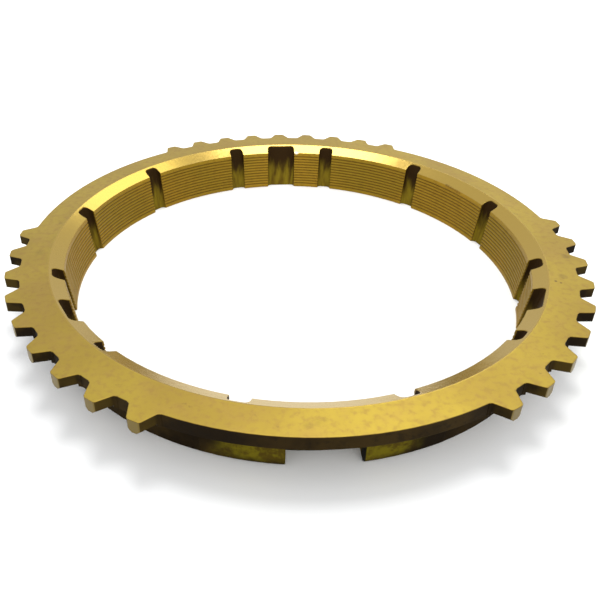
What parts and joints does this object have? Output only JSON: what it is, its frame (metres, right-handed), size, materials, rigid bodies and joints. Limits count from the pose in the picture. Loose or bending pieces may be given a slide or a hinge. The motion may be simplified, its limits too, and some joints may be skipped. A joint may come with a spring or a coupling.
{
  "type": "synchronizer ring",
  "caption": "Brass gearbox synchronizer blocker ring with groups of pointed teeth on a thin flange, a tapered friction bore with oil grooves, and key slots in the hub.",
  "frame": {"origin": "middle of the hub side face, on the ring's axis, at the base the ring lies on", "axes": "+Z along the ring's axis towards the toothed gear side face, +Y through the middle of one tooth group, -Y through the middle of one key slot"},
  "size_m": [0.1152, 0.1126, 0.0111],
  "materials": {
    "brass": "turned, with dark forged skin left on flanks and grooves"
  },
  "bodies": {
    "root": {"synchronizer_ring": "brass"}
  },
  "joints": []
}
